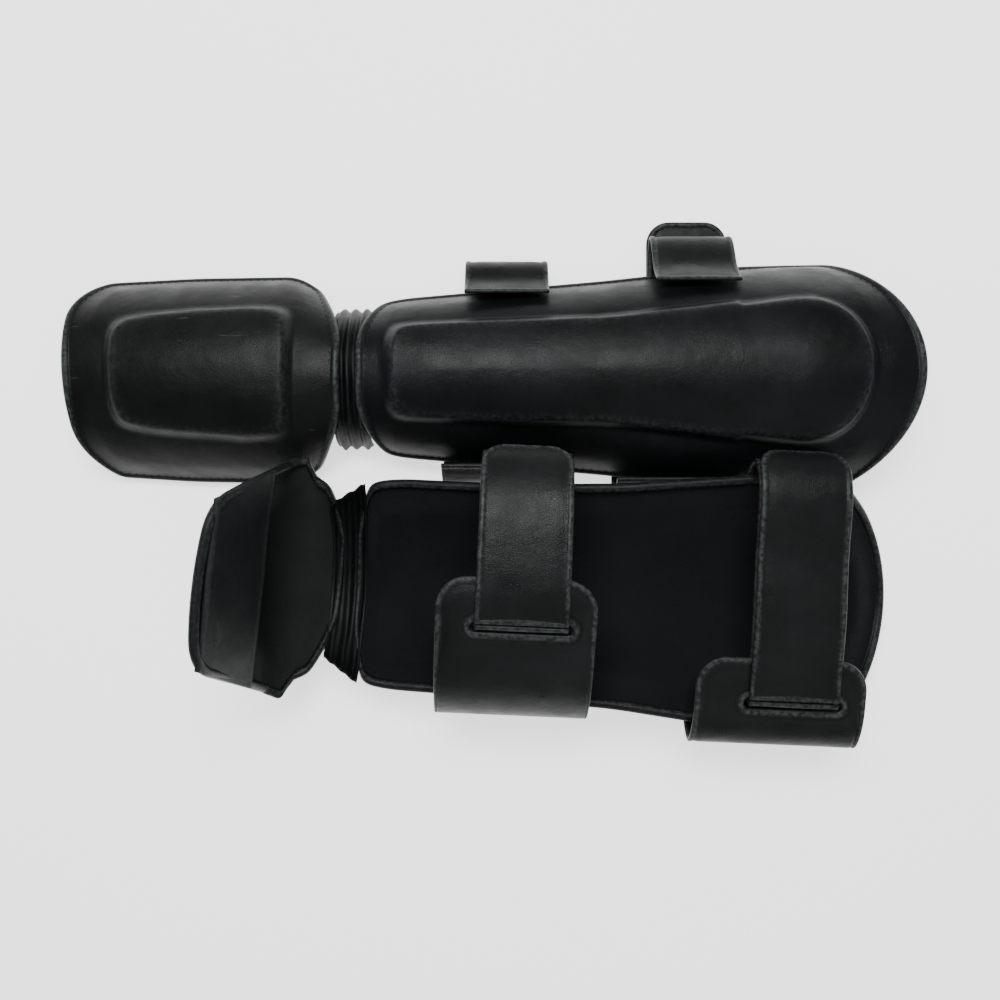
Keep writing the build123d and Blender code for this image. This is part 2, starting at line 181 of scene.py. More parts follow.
def resample(points, count):
    """A polyline's points, spread evenly along it."""
    points = np.array(points, float)
    steps = np.concatenate([[0], np.cumsum(np.linalg.norm(np.diff(points, axis=0), axis=1))])
    at = np.linspace(0, steps[-1], count)
    return np.stack([np.interp(at, steps, points[:, i]) for i in range(points.shape[1])], axis=1)


def round_loop(points, passes):
    """A closed loop with its corners rounded by averaging neighbours."""
    for _ in range(passes):
        points = (np.roll(points, 1, axis=0) + 2 * points + np.roll(points, -1, axis=0)) / 4
    return points


def stitch_mesh(name, runs, material, length=3.0, pitch=4.6, width=0.42):
    """Short raised threads along runs of (points, normals), in metres."""
    verts, faces = [], []
    for points, normals in runs:
        gaps = np.linalg.norm(np.diff(points, axis=0), axis=1)
        steps = np.concatenate([[0], np.cumsum(gaps)]) * 1000
        for start in np.arange(pitch, steps[-1] - pitch, pitch):
            ends = []
            for at in (start, start + length / 2, start + length):
                ends.append([np.interp(at, steps, points[:, i]) for i in range(3)])
            normal = np.array([np.interp(start, steps, normals[:, i]) for i in range(3)])
            normal /= np.linalg.norm(normal) + 1e-9
            a, m, b = (np.array(e) for e in ends)
            along = (b - a) / (np.linalg.norm(b - a) + 1e-9)
            side = np.cross(along, normal) * width * 0.001
            lift = normal * width * 0.001
            base = len(verts)
            verts += [a - lift, m - side, m + lift * 1.3, m + side, m - lift, b - lift]
            for p, q in ((1, 2), (2, 3), (3, 4), (4, 1)):
                faces.append((base, base + p, base + q))
                faces.append((base + 5, base + q, base + p))
    return new_object(name, verts, faces, [material])


# ---------------------------------------------------------------- materials


def shader(name, colour, roughness, specular=0.14, sheen=0.0):
    """A Principled material; what is the same all over is set on the shader itself."""
    material = bpy.data.materials.new(name)
    material.use_nodes = True
    nodes = material.node_tree.nodes
    bsdf = nodes["Principled BSDF"]
    bsdf.inputs["Base Color"].default_value = (*colour, 1)
    bsdf.inputs["Roughness"].default_value = roughness
    bsdf.inputs["Specular IOR Level"].default_value = specular
    bsdf.inputs["Sheen Weight"].default_value = sheen
    bsdf.inputs["Sheen Roughness"].default_value = 0.5
    return material, nodes, material.node_tree.links, bsdf


def ranged(nodes, links, source, low, high, out_low, out_high):
    """A value mapped from one range to another."""
    node = nodes.new("ShaderNodeMapRange")
    links.new(source, node.inputs["Value"])
    node.inputs["From Min"].default_value = low
    node.inputs["From Max"].default_value = high
    node.inputs["To Min"].default_value = out_low
    node.inputs["To Max"].default_value = out_high
    return node.outputs["Result"]


def noise_node(nodes, links, coords, scale, detail=3.0):
    node = nodes.new("ShaderNodeTexNoise")
    node.inputs["Scale"].default_value = scale
    node.inputs["Detail"].default_value = detail
    links.new(coords, node.inputs["Vector"])
    return node.outputs["Fac"]


def mixed(nodes, links, factor, a, b):
    """Two colours mixed by a factor; each is a colour or a node's output."""
    node = nodes.new("ShaderNodeMix")
    node.data_type = "RGBA"
    links.new(factor, node.inputs["Factor"])
    for socket, value in ((node.inputs[6], a), (node.inputs[7], b)):
        if hasattr(value, "links"):
            links.new(value, socket)
        else:
            socket.default_value = (*value, 1)
    return node.outputs[2]


def leather(name, dark, light, worn_and_highlight, roughness, grain=1.1, depth=0.00012, scuffs=0.0):
    """Grained leather: dark to light by large soft patches, and paler along rims, ridges and pleat
    crests, where the pale colour is partly wear and partly painted highlight.
    """
    material, nodes, links, bsdf = shader(name, dark, roughness)
    coords = nodes.new("ShaderNodeTexCoord").outputs["Object"]
    patches = noise_node(nodes, links, coords, 22.0, 4.0)
    tone = mixed(nodes, links, ranged(nodes, links, patches, 0.32, 0.7, 0, 1), dark, light)
    # The per-point mask pales rims, ridges and pleat crests: partly real wear, partly painted highlight
    wear_and_highlight_node = nodes.new("ShaderNodeAttribute")
    wear_and_highlight_node.attribute_name = "wear_and_highlight"
    speckle = noise_node(nodes, links, coords, 420.0, 4.0)
    wear_and_highlight_mask = nodes.new("ShaderNodeMath")
    wear_and_highlight_mask.operation = "MULTIPLY"
    links.new(wear_and_highlight_node.outputs["Fac"], wear_and_highlight_mask.inputs[0])
    links.new(ranged(nodes, links, speckle, 0.4, 0.62, 0.15, 1), wear_and_highlight_mask.inputs[1])
    tone = mixed(nodes, links, wear_and_highlight_mask.outputs[0], tone, worn_and_highlight)
    if scuffs:
        stretch = nodes.new("ShaderNodeMapping")
        stretch.inputs["Rotation"].default_value = (0, 0, 0.9)
        stretch.inputs["Scale"].default_value = (1.0, 7.0, 1.0)
        links.new(coords, stretch.inputs["Vector"])
        lines = noise_node(nodes, links, stretch.outputs["Vector"], 46.0, 2.0)
        mask = ranged(nodes, links, lines, 0.735, 0.76, 0, scuffs)
        tone = mixed(nodes, links, mask, tone, (0.16, 0.17, 0.165))
    links.new(tone, bsdf.inputs["Base Color"])
    sheen_patch = noise_node(nodes, links, coords, 60.0, 5.0)
    links.new(
        ranged(nodes, links, sheen_patch, 0.3, 0.7, roughness - 0.07, roughness + 0.09),
        bsdf.inputs["Roughness"],
    )
    cells = nodes.new("ShaderNodeTexVoronoi")
    cells.feature = "DISTANCE_TO_EDGE"
    cells.inputs["Scale"].default_value = 1000.0 / grain
    links.new(coords, cells.inputs["Vector"])
    pebble = ranged(nodes, links, cells.outputs["Distance"], 0.0, 0.16, 0, 1)
    fine = nodes.new("ShaderNodeBump")
    fine.inputs["Strength"].default_value = 0.32
    fine.inputs["Distance"].default_value = depth
    links.new(pebble, fine.inputs["Height"])
    creases = nodes.new("ShaderNodeBump")
    creases.inputs["Strength"].default_value = 0.45
    creases.inputs["Distance"].default_value = 0.0011
    links.new(noise_node(nodes, links, coords, 75.0, 6.0), creases.inputs["Height"])
    links.new(fine.outputs["Normal"], creases.inputs["Normal"])
    links.new(creases.outputs["Normal"], bsdf.inputs["Normal"])
    return material


def cloth(name, dark, light, roughness, thread=0.9):
    """Woven cloth with a fine square weave, a soft sheen and cloudy fading."""
    material, nodes, links, bsdf = shader(name, dark, roughness, 0.12, 0.06)
    coords = nodes.new("ShaderNodeTexCoord").outputs["Object"]
    patches = noise_node(nodes, links, coords, 18.0, 5.0)
    lint = noise_node(nodes, links, coords, 700.0, 3.0)
    tone = mixed(nodes, links, ranged(nodes, links, patches, 0.3, 0.72, 0, 1), dark, light)
    lint_mask = ranged(nodes, links, lint, 0.62, 0.8, 0, 0.35)
    tone = mixed(nodes, links, lint_mask, tone, (0.016, 0.019, 0.020))
    links.new(tone, bsdf.inputs["Base Color"])
    heights = []
    for turn in ((0, 0, 0.0), (0, 0, math.pi / 2)):
        mapping = nodes.new("ShaderNodeMapping")
        mapping.inputs["Rotation"].default_value = turn
        links.new(coords, mapping.inputs["Vector"])
        wave = nodes.new("ShaderNodeTexWave")
        wave.inputs["Scale"].default_value = 314.0 / thread
        wave.inputs["Distortion"].default_value = 1.2
        links.new(mapping.outputs["Vector"], wave.inputs["Vector"])
        heights.append(wave.outputs["Fac"])
    weave = nodes.new("ShaderNodeMath")
    weave.operation = "ADD"
    links.new(heights[0], weave.inputs[0])
    links.new(heights[1], weave.inputs[1])
    fine = nodes.new("ShaderNodeBump")
    fine.inputs["Strength"].default_value = 0.35
    fine.inputs["Distance"].default_value = 0.0002
    links.new(weave.outputs[0], fine.inputs["Height"])
    soft = nodes.new("ShaderNodeBump")
    soft.inputs["Strength"].default_value = 0.4
    soft.inputs["Distance"].default_value = 0.0016
    links.new(noise_node(nodes, links, coords, 60.0, 4.0), soft.inputs["Height"])
    links.new(fine.outputs["Normal"], soft.inputs["Normal"])
    links.new(soft.outputs["Normal"], bsdf.inputs["Normal"])
    return material


def loops(name, dark, light):
    """The short fuzz of hook-and-loop strip."""
    material, nodes, links, bsdf = shader(name, dark, 0.9, 0.12, 0.1)
    coords = nodes.new("ShaderNodeTexCoord").outputs["Object"]
    fuzz = noise_node(nodes, links, coords, 1500.0, 2.0)
    tone = mixed(nodes, links, ranged(nodes, links, fuzz, 0.35, 0.7, 0, 1), dark, light)
    links.new(tone, bsdf.inputs["Base Color"])
    bump = nodes.new("ShaderNodeBump")
    bump.inputs["Strength"].default_value = 0.8
    bump.inputs["Distance"].default_value = 0.0004
    links.new(fuzz, bump.inputs["Height"])
    links.new(bump.outputs["Normal"], bsdf.inputs["Normal"])
    return material


# Leathers are given as (dark, light, worn) colours, a roughness, and the grain's size in mm; the worn
# colour is laid on rims and ridges as wear and painted highlight together
COVER_LEATHER = leather(
    "cover_leather", (0.0018, 0.0024, 0.0025), (0.0042, 0.0056, 0.0060), (0.028, 0.034, 0.037), 0.37
)
FOOT_LEATHER = leather(
    "foot_leather", (0.0020, 0.0026, 0.0021), (0.0046, 0.0060, 0.0050), (0.027, 0.033, 0.031), 0.40,
    scuffs=0.12
)
BINDING_LEATHER = leather(
    "binding_leather", (0.0032, 0.0040, 0.0039), (0.0065, 0.0082, 0.0082), (0.055, 0.065, 0.065),
    0.36, 0.8
)
STRAP_LEATHER = leather(
    "strap_leather", (0.0040, 0.0050, 0.0047), (0.0090, 0.0115, 0.0108), (0.058, 0.068, 0.066), 0.33
)
FOLD_LEATHER = leather(
    "fold_leather", (0.0016, 0.0021, 0.0021), (0.0036, 0.0048, 0.0048), (0.012, 0.0148, 0.0148),
    0.42, 0.8
)
BAND_LEATHER = leather(
    "band_leather", (0.0085, 0.0108, 0.0104), (0.0145, 0.0182, 0.0172), (0.035, 0.042, 0.041),
    0.48, 0.8, 0.0001
)
LINING_CLOTH = cloth("lining_cloth", (0.0020, 0.0028, 0.0031), (0.0048, 0.0064, 0.0072), 0.8)
FOOT_LINING_CLOTH = cloth(
    "foot_lining_cloth", (0.0058, 0.0078, 0.0066), (0.0130, 0.0165, 0.0142), 0.75
)
THREAD = shader("thread", (0.006, 0.0075, 0.0075), 0.6)[0]
HOOKS = loops("hook_and_loop", (0.008, 0.008, 0.008), (0.03, 0.03, 0.03))
PAD_MATERIALS = {
    "shin": [COVER_LEATHER, BINDING_LEATHER, LINING_CLOTH],
    "foot": [FOOT_LEATHER, BINDING_LEATHER, FOOT_LINING_CLOTH],
}

# ---------------------------------------------------------------- pads

# Each section is (distance along the pad, crest height, half width, rise), as in the CAD
SECTIONS = {
    "left_shin": [
        (6, 49, 45, 38), (30, 51, 49.5, 38), (150, 57, 60, 43),
        (232, 60, 69, 46.5), (262, 62.4, 72, 60), (328, 62.4, 73, 60),
    ],
    "left_foot": [(6, 49, 45, 39), (36, 49.9, 65, 46), (100, 48.7, 64, 45), (170, 45, 60, 41)],
    "right_shin": [
        (6, 6.9, 60, 25), (30, 6.9, 63.5, 27), (100, 6.9, 63, 41),
        (160, 6.9, 66, 42), (240, 6.9, 75, 43), (328, 6.9, 76, 43),
    ],
    "right_foot": [
        (6, 6.9, 52, 26), (22, 6.9, 62, 29), (53.4, 6.9, 73, 31),
        (84.8, 6.9, 69, 25), (128, 6.9, 55, 12), (170, 6.9, 43, 2.5),
    ],
}
PANEL_HALVES = {
    "left_shin": [(6, 31), (150, 35), (232, 45), (262, 49), (328, 45)],
    "left_foot": [(6, 42), (100, 44), (170, 42)],
    "right_shin": [(6, 31), (160, 36), (240, 45), (328, 40)],
    "right_foot": [(6, 36), (22, 42), (85, 43), (170, 36)],
}
FOOT_TIPS = {"left_foot": (166.0, 60.0, 80.0, 27.0), "right_foot": (164.0, 43.0, 76.0, 15.0)}
TOE_SLANT = {"left_foot": 3.5, "right_foot": -1.5}
PANEL_SPAN = {"shin": (20.0, 300.0), "foot": (30.0, 141.0)}
AROUND = 300


class Pad:
    """One curved pad: a surface over (u, s), u along the pad and s round it from its crest."""

    def __init__(self, name):
        self.name = name
        self.kind = name.split("_")[1]
        self.lying_up = name.startswith("left")
        self.thickness = SHIN_THICKNESS if self.kind == "shin" else FOOT_THICKNESS
        self.start = STARTS[name.split("_")[0]]
        self.end = SHIN_END if self.kind == "shin" else FOOT_TIPS[name][0]

    def shape(self, u):
        crest, w, r = table(SECTIONS[self.name], u)
        radius = (w * w + r * r) / (2 * r)
        return crest, radius, np.arcsin(np.clip(w / radius, -1, 1))

    def limit(self, u):
        """How far round the pad reaches at u, in millimetres along its outer surface."""
        crest, radius, edge = self.shape(u)
        drop = NOTCH_START + np.maximum(u - self.start, 0) * NOTCH_SLOPE
        notch = np.arccos(np.clip(1 - drop / radius, -1, 1))
        if self.kind == "shin":
            along = np.clip((u - KNEE_CENTRE) / KNEE_LENGTH, 0, 1)
            wide = KNEE_HALF_WIDTH * np.sqrt(1 - along**2)
        else:
            tip, half_tip, half_base, corner = FOOT_TIPS[self.name]
            wide = half_base + (half_tip - half_base) * np.clip((u - 60) / (tip - 60), 0, 1)
            d = np.clip(tip - u, 0, corner)
            wide = wide - corner + np.sqrt(corner**2 - (corner - d) ** 2)
        plan = np.where(wide < radius, np.arcsin(np.clip(wide / radius, 0, 1)), math.pi / 2)
        return radius * np.minimum(np.minimum(edge, notch), plan)

    def outline(self):
        """The pad's edge as a closed loop of (u, s), with rounded corners."""
        tip_bunch = 1 - np.cos(np.linspace(0, math.pi / 2, 400))
        u = self.start + (self.end - self.start) * np.sin(tip_bunch * math.pi / 2)
        half = np.stack([u, self.limit(u)], axis=1)
        half = np.concatenate([[[self.start, 0.0]], half, [[self.end, 0.0]]])
        half = resample(half, AROUND // 2 + 1)
        other = half[::-1][1:-1] * (1, -1)
        return round_loop(np.concatenate([half, other]), 5)

    def spine(self, outline):
        """For each point of the outline, the point inside that it shrinks to."""
        low, high = (40.0, 258.0) if self.kind == "shin" else (50.0, self.end - 48.0)
        centres = np.zeros_like(outline)
        centres[:, 0] = np.clip(outline[:, 0], low, high)
        return centres

    def place(self, u, s, depth):
        """Points at depth below the outer surface, in the guard's own frame."""
        crest, radius, _ = self.shape(u)
        angle = s / radius
        y = (radius - depth) * np.sin(angle)
        h = radius - (radius - depth) * np.cos(angle)
        if self.kind == "shin":
            return np.stack([u, y, crest - h if self.lying_up else crest + h], axis=1)
        slant = TOE_SLANT[self.name] * (y / 57.0) * smooth((u - 90) / 76)
        if self.lying_up:
            return np.stack([-(u + slant), y, crest - h], axis=1)
        u = u + slant
        flat = np.minimum(u, BEND_START)
        turn = np.clip((u - BEND_START) / BEND_RADIUS, 0, math.pi / 2)
        rest = np.maximum(u - BEND_START - BEND_RADIUS * math.pi / 2, 0)
        x = -flat - BEND_RADIUS * np.sin(turn) + 0.022 * rest
        z = crest + BEND_RADIUS * (1 - np.cos(turn)) + rest
        return np.stack([x + h * np.sin(turn), y, z + h * np.cos(turn)], axis=1)

    def panel(self, u, s):
        """Distance in from the raised panel's edge."""
        (half,) = table(PANEL_HALVES[self.name], u)
        first, last = PANEL_SPAN[self.kind]
        sides = half - np.abs(s)
        if self.kind == "shin":
            along = np.maximum(u - KNEE_CENTRE, 0) / (last - KNEE_CENTRE)
            oval = (1 - np.sqrt(along**2 + (s / (half + 4)) ** 2)) * half
            return soft_min([sides, u - first, np.where(u > KNEE_CENTRE - 30, oval, 99)], 5.0)
        narrow = sides - 0.10 * np.maximum(u - 60, 0)
        return soft_min([narrow, u - first, last - u], 5.5)


BEAD_RADIUS = 2.7
GROOVE_HALF = 1.5
EDGE_DEPTH = 2.9


def rim_profile(distance, thickness):
    """Half thickness and middle depth of a pad, by distance from its edge: a bead, a stitched
    groove, and then the padding."""
    across = np.clip(distance, 0, 2 * BEAD_RADIUS) - BEAD_RADIUS
    bead = np.sqrt(np.clip(BEAD_RADIUS**2 - across**2, 0, None))
    inside = GROOVE_HALF + (thickness / 2 - GROOVE_HALF) * smooth((distance - 5.2) / 17) ** 0.8
    groove = np.where(distance > BEAD_RADIUS, GROOVE_HALF, 0)
    half = np.where(distance < 2 * BEAD_RADIUS, np.maximum(bead, groove), inside)
    middle = EDGE_DEPTH + (thickness / 2 - EDGE_DEPTH) * smooth((distance - 4) / 18)
    return half, middle


BEAD_RINGS = [0, 0.25, 0.8, 1.6, 2.7, 3.8, 4.6, 5.1, 5.5, 6.1, 6.8, 7.8, 9.2, 11.2, 13.6, 16.4, 19.2]
INNER_STEP = 2.3
SHORTEST_REACH = 22.0


def make_pad(name, seed):
    """One whole pad: outer leather with its raised panel, edge binding and lining."""
    pad = Pad(name)
    outline = pad.outline()
    centres = pad.spine(outline)
    reach = np.linalg.norm(centres - outline, axis=1)
    rings = list(BEAD_RINGS)
    inner_count = int((np.max(reach) - rings[-1]) / INNER_STEP)
    outer_points, inner_points, wear_and_highlight_out = [], [], []
    for i in range(len(rings) + inner_count):
        if i < len(rings):
            distance = rings[i] * np.minimum(1, reach / SHORTEST_REACH)
        else:
            part = (i - len(rings) + 1) / inner_count
            edge = rings[-1] * np.minimum(1, reach / SHORTEST_REACH)
            distance = edge + (reach - edge) * part
        share = (distance / reach)[:, None]
        us = outline * (1 - share) + centres * share
        u, s = us[:, 0], us[:, 1]
        half, middle = rim_profile(distance, pad.thickness)
        panel = pad.panel(u, s)
        step = smooth(panel / 7.5)
        crown = smooth((panel - 6.0) / 34.0)
        raise_by = RAISE * (0.80 * step + 0.20 * crown) * smooth((distance - 8) / 8)
        flat = np.stack([u, s, np.zeros_like(u)], axis=1)
        big, small = rough(flat, 46.0, seed), rough(flat, 15.0, seed + 3)
        calm = smooth((distance - 5) / 12)
        outer_depth = middle - half - raise_by + calm * (0.35 + 0.35 * big + 0.14 * small)
        puff = calm * (0.75 * rough(flat, 30.0, seed + 7) + 0.3 * rough(flat, 11.0, seed + 9))
        inner_depth = middle + half - np.abs(puff) - 0.2 * calm
        outer_points.append(pad.place(u, s, np.maximum(outer_depth, -RAISE)))
        inner_points.append(pad.place(u, s, inner_depth))
        # Paler lines along the raised panel's edge and the edge bead: partly wear, partly painted
        # highlight on those ridges
        ridge = np.exp(-((panel - 6.5) / 3.0) ** 2) * 0.55
        bead = np.exp(-((distance - 2.2) / 1.6) ** 2) * 0.8
        wear_and_highlight_out.append(np.maximum(ridge, bead))
    count = len(outer_points)
    place = PLACES[name]
    points = np.concatenate(outer_points[::-1] + inner_points[1:])
    wear_and_highlight = np.concatenate(wear_and_highlight_out[::-1] + [w * 0.6 for w in wear_and_highlight_out[1:]])
    bead_rings = BEAD_RINGS.index(5.5)
    faces = ring_faces(2 * count - 1, AROUND)
    slots = []
    for ring in range(2 * count - 2):
        from_edge = count - 2 - ring if ring < count - 1 else ring - (count - 1)
        kind = 1 if from_edge < bead_rings else (0 if ring < count - 1 else 2)
        slots += [kind] * AROUND
    points = row_frame(points, place)
    obj = new_object(f"{name}_pad", points, faces, PAD_MATERIALS[pad.kind], slots, wear_and_highlight)
    runs = []
    groove = BEAD_RINGS.index(6.1)
    for side in (outer_points, inner_points):
        line = row_frame(side[groove], place)
        core = row_frame((outer_points[groove] + inner_points[groove]) / 2, place)
        normals = line - core
        runs.append((np.concatenate([line, line[:1]]), np.concatenate([normals, normals[:1]])))
    stitches = stitch_mesh(f"{name}_stitches", runs, THREAD)
    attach(obj, name)
    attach(stitches, name)
    parts = ("cover", "foam", "lining", "binding", "raised_panel")
    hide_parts(*[f"{name}_{part}" for part in parts])
    return obj


for seed, pad_name in enumerate(SECTIONS):
    make_pad(pad_name, seed + 1)

# ---------------------------------------------------------------- ankle folds

FOLD_SPAN = 10.5
FOLD_THICKNESS = 1.3
PLEATS = 3


def make_fold(side, crest, radii, angle, depth, pleat_height):
    """The pleated strip across the ankle: radii are the curve's radii at its two ends, angle is
    how far it reaches round each side, and depth is how far it lies below the pads' surface."""
    along = np.linspace(-FOLD_SPAN, FOLD_SPAN, 64)
    across = np.linspace(-1, 1, 90)
    points, wear_and_highlight = [], []
    for layer in (0.0, FOLD_THICKNESS):
        for x in along:
            radius = np.interp(x, (-FOLD_SPAN, FOLD_SPAN), radii)
            pleat = 0.5 - 0.5 * math.cos(2 * math.pi * PLEATS * (x / FOLD_SPAN + 1) / 2)
            fade = smooth((FOLD_SPAN - abs(x)) / 3)
            for t in across:
                turn = math.radians(angle) * t
                ripple = noise.noise(Vector((x * 0.1, t * 3.0, 2.0 if side == "left" else 5.0)))
                bulge = pleat_height * pleat * fade * (0.8 + 0.5 * ripple)
                reach = radius - depth + bulge - layer
                y, h = reach * math.sin(turn), radius - reach * math.cos(turn)
                z = crest - h if side == "left" else crest + h
                points.append((x + ripple * 0.6, y, z))
                # Pleat crests are paler: partly wear, partly painted highlight on the crests
                wear_and_highlight.append(0.5 * pleat**3 * (1 - layer))
    place = PLACES[f"{side}_shin"]
    points = row_frame(np.array(points), place)
    faces = slab_faces(len(along), len(across))
    fold = new_object(f"{side}_ankle_pleats", points, faces, [FOLD_LEATHER], None, wear_and_highlight)
    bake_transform(fold)
    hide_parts(f"{side}_ankle_fold")


make_fold("left", 49.0, (45.6, 45.6), 82.0, 4.0, 2.6)
make_fold("right", RIGHT_CREST, (66.0, 84.5), 47.0, 4.4, 1.6)

# ---------------------------------------------------------------- straps


class Loop:
    """A smooth line through points (y, z), read by the distance along it."""

    def __init__(self, points):
        points = np.array(points, float)
        chords = np.linalg.norm(np.diff(points, axis=0), axis=1)
        knots = np.concatenate([[0], np.cumsum(chords)])
        fine = np.linspace(0, knots[-1], 2400)
        line = np.stack([self.cubic(knots, points[:, i], fine) for i in range(2)], axis=1)
        self.steps = np.concatenate([[0], np.cumsum(np.linalg.norm(np.diff(line, axis=0), axis=1))])
        self.line = line
        self.slopes = np.gradient(line, self.steps, axis=0)

    @staticmethod
    def cubic(knots, values, at):
        """The natural cubic spline through values at knots."""
        n = len(knots)
        h = np.diff(knots)
        system = np.zeros((n, n))
        right = np.zeros(n)
        system[0, 0] = system[-1, -1] = 1
        for i in range(1, n - 1):
            system[i, i - 1 : i + 2] = h[i - 1], 2 * (h[i - 1] + h[i]), h[i]
            right[i] = 6 * ((values[i + 1] - values[i]) / h[i] - (values[i] - values[i - 1]) / h[i - 1])
        bend = np.linalg.solve(system, right)
        i = np.clip(np.searchsorted(knots, at) - 1, 0, n - 2)
        a, b = knots[i + 1] - at, at - knots[i]
        curve = (bend[i] * a**3 + bend[i + 1] * b**3) / (6 * h[i])
        return curve + (values[i] / h[i] - bend[i] * h[i] / 6) * a + (
            values[i + 1] / h[i] - bend[i + 1] * h[i] / 6
        ) * b

    @property
    def length(self):
        return self.steps[-1]

    def beside(self, distance, off):
        """Points off millimetres to the left of the line, as y and z."""
        y, z = (np.interp(distance, self.steps, self.line[:, i]) for i in range(2))
        ty, tz = (np.interp(distance, self.steps, self.slopes[:, i]) for i in range(2))
        size = np.hypot(ty, tz)
        return y - off * tz / size, z + off * ty / size


class TurnedLoop:
    """A strap's own line: along a loop, round the edge of its slot, and no further."""

    def __init__(self, loop, slot, inward):
        self.loop, self.slot, self.inward = loop, slot, inward
        self.turn_length = math.pi * LAYER_STEP
        self.length = self.turn_length + loop.length - slot

    def beside(self, distance, off):
        """off is measured away from the middle of the turn."""
        distance, off = np.broadcast_arrays(np.asarray(distance, float), np.asarray(off, float))
        reach = LAYER_STEP + off
        along = np.maximum(distance - self.turn_length, 0)
        y, z = self.loop.beside(self.slot + along, self.inward * reach)
        angle = math.pi * (1 - np.clip(distance / self.turn_length, 0, 1))
        cy, cz = self.loop.beside(self.slot, 0.0)
        oy, oz = self.loop.beside(self.slot, 1.0)
        normal = np.array([oy - cy, oz - cz])
        back = np.array([-normal[1], normal[0]])
        across = self.inward * reach * np.cos(angle)
        ty = cy + across * normal[0] + reach * np.sin(angle) * back[0]
        tz = cz + across * normal[1] + reach * np.sin(angle) * back[1]
        turning = distance < self.turn_length
        return np.where(turning, ty, y), np.where(turning, tz, z)


def strip_rings(length, half, corners, around, depth_rings, spine_in):
    """Rings of (s, v) from a rounded strip's outline in to its middle line. The first ones keep
    the distances given, and the rest share out what is left."""
    near, far = corners
    s = np.linspace(0, length, 500)
    wide = np.full_like(s, half)
    for corner, d in ((near, s), (far, length - s)):
        if corner > 0:
            d = np.clip(d, 0, corner)
            wide = np.minimum(wide, half - corner + np.sqrt(corner**2 - (corner - d) ** 2))
    side = np.concatenate([[[0, 0]], np.stack([s, wide], axis=1), [[length, 0]]])
    side = resample(side, around // 2 + 1)
    outline = np.concatenate([side, side[::-1][1:-1] * (1, -1)])
    centres = np.zeros_like(outline)
    centres[:, 0] = np.clip(outline[:, 0], spine_in, length - spine_in)
    reach = np.linalg.norm(centres - outline, axis=1)
    fixed = [np.minimum(d, reach) for d in depth_rings]
    spread = [fixed[-1] + (reach - fixed[-1]) * part for part in np.linspace(0, 1, INNER_RINGS)[1:]]
    rings = []
    for distance in fixed + spread:
        share = (distance / reach)[:, None]
        rings.append((outline * (1 - share) + centres * share, distance))
    return rings


STRAP_RINGS = [0, 0.15, 0.5, 1.1, 1.9, 2.7, 3.3, 3.7, 4.1, 4.7, 5.6, 7.5, 10]
INNER_RINGS = 10
STRAP_GROOVE = 8


def strap_thickness(distance, body_half, bead_half):
    """Half thickness of a strap by distance from its edge: a piped edge, a groove, the body."""
    width = 1.9
    bead = bead_half * np.sqrt(np.clip(1 - ((np.clip(distance, 0, 3.8) - width) / width) ** 2, 0, 1))
    valley = body_half * 0.72
    body = valley + (body_half - valley) * smooth((distance - 4.0) / 5.0)
    outer = np.where(distance > width, np.maximum(bead, valley), bead)
    return np.where(distance < 3.8, outer, body)


def make_strip(
    name, line, span, off, half, corners, x, place, body_half, bead_half, material, seed,
    around=260, stitched=(1, -1)
):
    """A strap from span[0] to span[1] along a line, and its stitches. Returns both objects."""
    start, end = span
    length = end - start
    rings = strip_rings(length, half, corners, around, STRAP_RINGS, half * 0.98)
    top, bottom, wear_and_highlight = [], [], []
    for us, distance in rings:
        s, v = us[:, 0], us[:, 1]
        thick = strap_thickness(distance, body_half, bead_half)
        flat = np.stack([s, v, np.zeros_like(s)], axis=1)
        lift = 0.16 * rough(flat, 24.0, seed) * smooth(distance / 8)
        for sign, out in ((1, top), (-1, bottom)):
            y, z = line.beside(start + s, off + sign * thick + lift)
            out.append(np.stack([x + v, y, z], axis=1))
        # The piped edge is paler: partly wear, partly painted highlight on the bead
        wear_and_highlight.append(np.exp(-((distance - 1.6) / 1.4) ** 2) * 0.75)
    points = np.concatenate(top[::-1] + bottom[1:])
    faces = ring_faces(2 * len(rings) - 1, around)
    wear_and_highlight_values = np.concatenate(wear_and_highlight[::-1] + wear_and_highlight[1:])
    obj = new_object(name, row_frame(points, place), faces, [material], None, wear_and_highlight_values)
    runs = []
    for sign in stitched:
        side = top if sign == 1 else bottom
        other = bottom if sign == 1 else top
        seam = row_frame(side[STRAP_GROOVE], place)
        normals = seam - row_frame(other[STRAP_GROOVE], place)
        runs.append((np.concatenate([seam, seam[:1]]), np.concatenate([normals, normals[:1]])))
    threads = stitch_mesh(f"{name}_stitches", runs, THREAD, 2.4, 3.6, 0.3)
    return obj, threads


TAB_RINGS = 26


